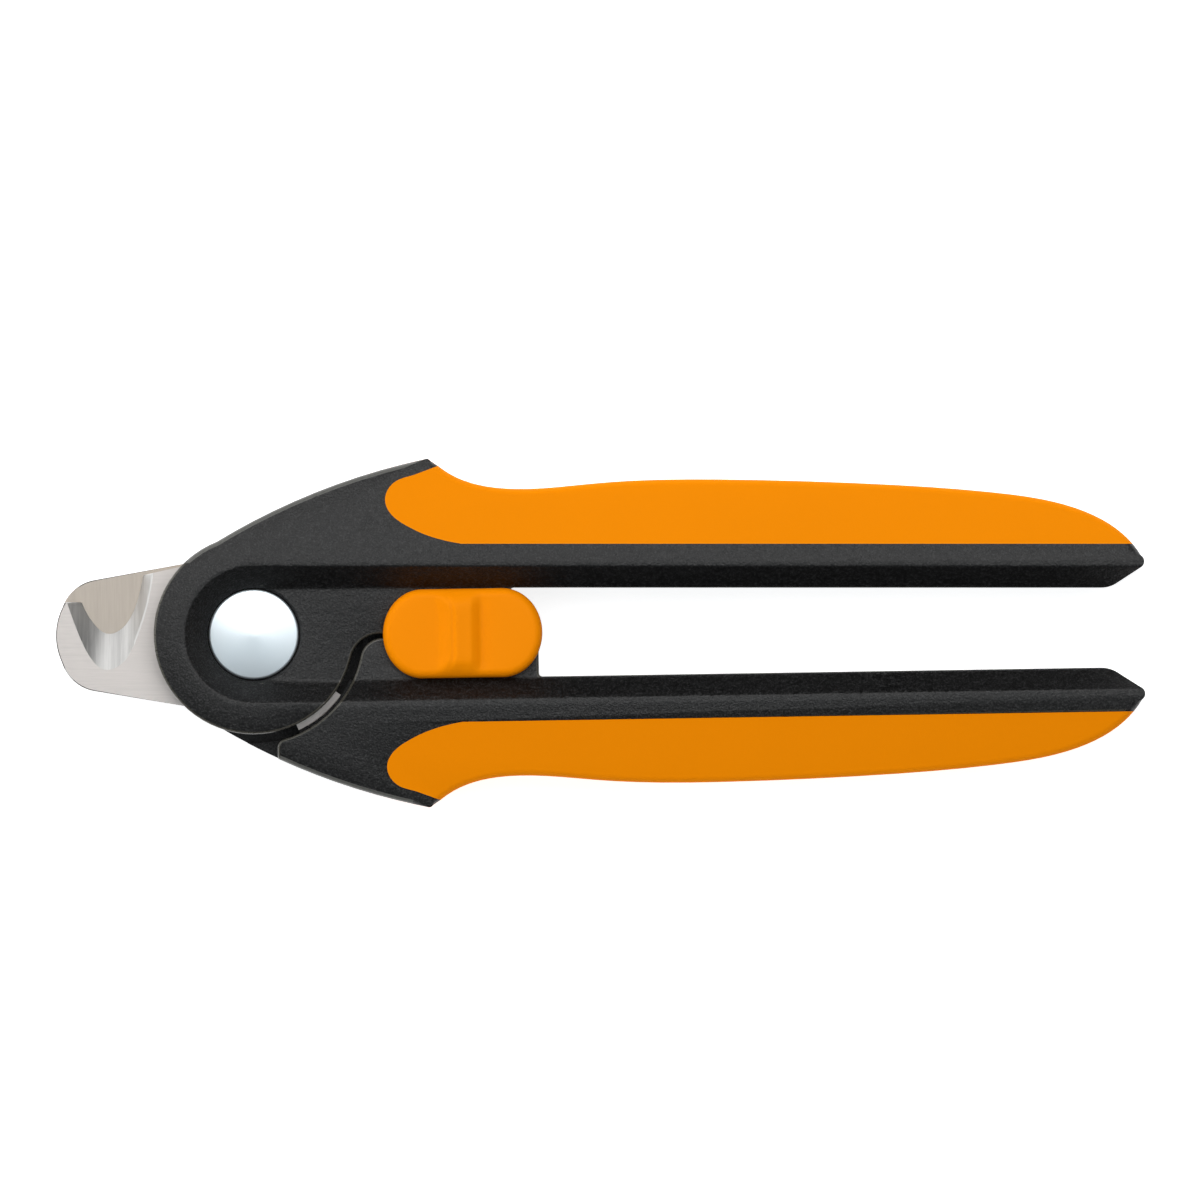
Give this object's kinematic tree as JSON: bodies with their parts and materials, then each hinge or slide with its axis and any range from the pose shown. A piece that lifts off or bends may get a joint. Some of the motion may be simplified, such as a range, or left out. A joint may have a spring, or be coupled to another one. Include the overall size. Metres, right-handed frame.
{
  "type": "pet nail trimmer",
  "caption": "Hand-held plier-type pet nail trimmer with crossing notched blades, round pivot, soft grip handles and a sliding lock button",
  "frame": {"origin": "the middle of the tool's footprint, in the plane of the back crease flats it rests on", "axes": "+X towards the handle ends, +Y towards the upper lever, +Z out of the front face, along the pivot"},
  "size_m": [0.155, 0.0496, 0.0185],
  "materials": {
    "black_plastic": "fine spark-eroded grain",
    "grip_orange": "smooth matte soft-touch rubber",
    "button_orange": "smooth satin plastic",
    "blade_steel": "ground and brushed",
    "pivot_steel": "satin",
    "pin_steel": "turned",
    "spring_steel": "drawn wire and strip",
    "washer_plastic": "natural nylon"
  },
  "bodies": {
    "upper_lever": {"upper_handle_core": "black_plastic", "upper_grip": "grip_orange", "front_blade": "blade_steel", "front_blade_stop_pin": "pin_steel", "front_blade_pin": "pin_steel", "pivot_bolt": "pivot_steel", "bolt_washer": "pin_steel", "pivot_barrel": "pivot_steel", "thrust_washer": "washer_plastic"},
    "lower_lever": {"lower_handle_core": "black_plastic", "lower_grip": "grip_orange", "rear_blade": "blade_steel", "rear_blade_stop_pin": "pin_steel", "rear_blade_pin": "pin_steel", "return_spring": "spring_steel", "detent_spring": "spring_steel"},
    "lock": {"lock_button": "button_orange", "lock_plate": "pin_steel", "lock_screw": "pin_steel"}
  },
  "joints": [
    {"name": "handle_pivot", "type": "hinge", "parent": "upper_lever", "child": "lower_lever", "pos_m": [-0.04929, -0.00019, 0.009], "axis": [0, 0, -1], "range_deg": [0, 25], "stiffness_Nm_per_rad": 0.098, "springref_deg": 85.94, "deforming": ["return_spring"]},
    {"name": "lock_slide", "type": "slide", "parent": "lower_lever", "child": "lock", "axis": [0.9999, 0.0157, 0], "range_m": [0, 0.0045], "deforming": ["detent_spring"]}
  ]
}
